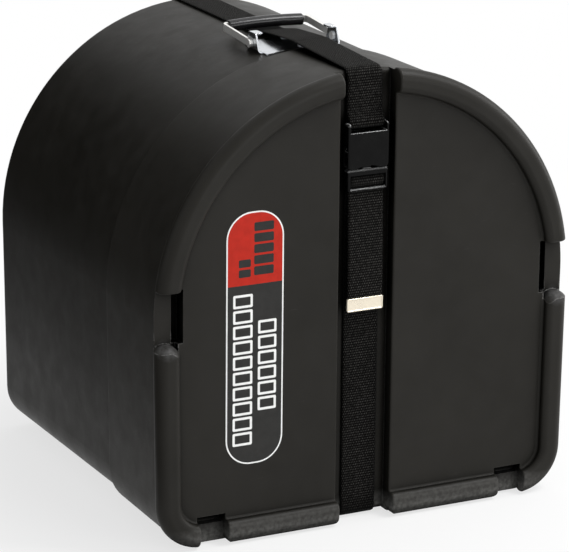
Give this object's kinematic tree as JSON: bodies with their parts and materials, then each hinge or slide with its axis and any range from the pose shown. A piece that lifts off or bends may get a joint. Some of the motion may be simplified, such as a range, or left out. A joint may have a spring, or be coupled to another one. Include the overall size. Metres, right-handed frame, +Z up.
{
  "type": "floor tom drum case",
  "caption": "Round-topped moulded drum case with a lift-off lid, webbing strap with side-release buckle, and folding bail handle.",
  "frame": {"origin": "on the floor, under the middle of the whole case", "axes": "+Z up, +Y from the lid's face to the rear wall, +X to the right of someone facing the lid"},
  "size_m": [0.4554, 0.425, 0.4689],
  "materials": {
    "shell": "satin moulded polyethylene with a fine grain",
    "foam": "soft closed-cell foam",
    "webbing": "woven nylon",
    "thread": "sewing thread",
    "buckle": "glossy moulded",
    "chrome": "bright plated",
    "steel": "zinc plated",
    "tip": "nickel plated",
    "grip": "glossy dark grey",
    "label": "printed film"
  },
  "bodies": {
    "case_body": {"body_shell": "shell", "body_wall_lining": "foam", "body_end_pad": "foam", "handle_plate": "chrome", "handle_backing_plate": "steel", "handle_rivets": "steel", "handle_pivot_rivets": "chrome", "strap_body_run": "webbing"},
    "handle_loop": {"handle_bail": "chrome", "handle_grip": "grip"},
    "lid": {"lid_shell": "shell", "lid_pad_left": "foam", "lid_pad_right": "foam", "strap_upper_run": "webbing", "strap_lower_run": "webbing", "strap_loop_stitching": "thread", "buckle_socket": "buckle", "name_label": "label"},
    "plug": {"buckle_plug": "buckle", "strap_tail": "webbing", "strap_tip": "tip"},
    "left_prong": {"prong_left": "buckle"},
    "right_prong": {"prong_right": "buckle"}
  },
  "joints": [
    {"name": "handle_hinge", "type": "hinge", "parent": "case_body", "child": "handle_loop", "pos_m": [0, -0.03955, 0.45754], "axis": [1, 0, 0], "range_deg": [0, 160]},
    {"name": "lid_slide", "type": "slide", "parent": "case_body", "child": "lid", "axis": [0, -1, 0], "range_m": [0, 0.3]},
    {"name": "plug_slide", "type": "slide", "parent": "lid", "child": "plug", "axis": [0, 0, -1], "range_m": [0, 0.04]},
    {"name": "prong_left_squeeze", "type": "hinge", "parent": "plug", "child": "left_prong", "pos_m": [-0.0143, -0.19895, 0.36525], "axis": [0, 1, 0], "range_deg": [0, 9], "stiffness_Nm_per_rad": 0.2},
    {"name": "prong_right_squeeze", "type": "hinge", "parent": "plug", "child": "right_prong", "pos_m": [0.0143, -0.19895, 0.36525], "axis": [0, 1, 0], "range_deg": [-9, 0], "stiffness_Nm_per_rad": 0.2}
  ],
  "couplings": [
    {"joint": "prong_right_squeeze", "follows": "prong_left_squeeze", "ratio": -1}
  ]
}
